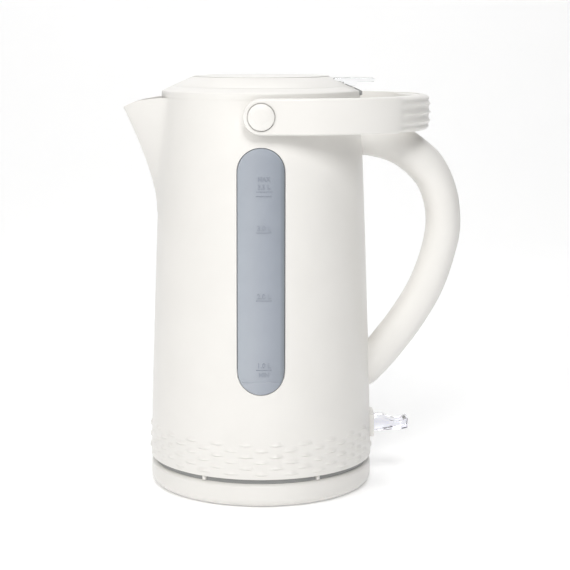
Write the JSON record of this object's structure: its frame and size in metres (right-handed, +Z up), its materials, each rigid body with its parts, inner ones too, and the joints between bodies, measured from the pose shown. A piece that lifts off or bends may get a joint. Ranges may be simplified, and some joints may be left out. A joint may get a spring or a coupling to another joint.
{
  "type": "electric kettle",
  "caption": "Tall tapered electric kettle with a V spout, side water windows, D handle, folding carry bail, flip lid with a thumb lever, rocker switch and cordless swivel base.",
  "frame": {"origin": "on the axis of the round body, at the plane that the base's feet stand on, under the middle foot", "axes": "+X to the D handle and the switch, -X to the spout, +Z up, +Y to the right of someone who holds the handle with the spout pointing away from them"},
  "size_m": [0.2524, 0.176, 0.3069],
  "materials": {
    "white_plastic": "satin gloss off-white",
    "window_plastic": "translucent grey-blue",
    "clear_plastic": "clear, polished",
    "dark_plastic": "matte dark grey",
    "black_plastic": "matte black",
    "silicone_rubber": "matte grey",
    "stainless_steel": "brushed",
    "brass": "plain",
    "lamp_lens": "translucent lens"
  },
  "bodies": {
    "base": {"base_cover": "white_plastic", "base_bottom_plate": "white_plastic", "base_connector_tower": "black_plastic", "base_contact_ring": "brass", "base_terminal_block": "black_plastic", "base_foot_1": "silicone_rubber", "base_foot_2": "silicone_rubber", "base_foot_3": "silicone_rubber", "base_foot_4": "silicone_rubber", "base_foot_center": "silicone_rubber", "base_cord_gland": "black_plastic", "base_screw_1": "stainless_steel", "base_screw_2": "stainless_steel", "base_screw_3": "stainless_steel"},
    "socket": {"kettle_connector": "black_plastic"},
    "kettle": {"body_shell": "white_plastic", "window_left": "window_plastic", "window_right": "window_plastic", "foot_ring": "dark_plastic", "bottom_cover": "black_plastic", "heating_plate": "stainless_steel", "plate_seal": "silicone_rubber", "heating_element": "stainless_steel", "thermostat_block": "black_plastic", "bimetal_disc": "stainless_steel", "control_screw_left": "stainless_steel", "control_screw_right": "stainless_steel", "switch_housing": "black_plastic", "indicator_lamp": "lamp_lens", "steam_tube": "white_plastic", "spout_filter": "window_plastic", "top_collar": "white_plastic", "switch_bezel": "white_plastic", "switch_pin": "stainless_steel", "bail_pivot_left": "white_plastic", "bail_pivot_right": "white_plastic", "handle_left": "white_plastic", "handle_right": "white_plastic", "lid_hinge_pin": "stainless_steel"},
    "lid": {"lid_cover": "white_plastic", "lid_inner": "white_plastic", "lid_gasket": "silicone_rubber", "lid_lever": "clear_plastic"},
    "bail": {"bail_frame": "white_plastic", "bail_grip_liner": "white_plastic", "bail_cap_left": "white_plastic", "bail_cap_right": "white_plastic"},
    "switch": {"switch_lever": "clear_plastic"}
  },
  "joints": [
    {"name": "kettle_lift", "type": "slide", "parent": "base", "child": "socket", "axis": [0, 0, 1], "range_m": [0, 0.06]},
    {"name": "kettle_swivel", "type": "hinge", "parent": "socket", "child": "kettle", "pos_m": [0, 0, 0.0268], "axis": [0, 0, 1], "continuous": true},
    {"name": "lid_hinge", "type": "hinge", "parent": "kettle", "child": "lid", "pos_m": [0.066, 0, 0.2955], "axis": [0, 1, 0], "range_deg": [0, 70]},
    {"name": "bail_hinge", "type": "hinge", "parent": "kettle", "child": "bail", "pos_m": [0, 0, 0.2805], "axis": [0, -1, 0], "range_deg": [0, 90]},
    {"name": "switch_rocker", "type": "hinge", "parent": "kettle", "child": "switch", "pos_m": [0.083, 0, 0.0434], "axis": [0, 1, 0], "range_deg": [0, 12]}
  ]
}
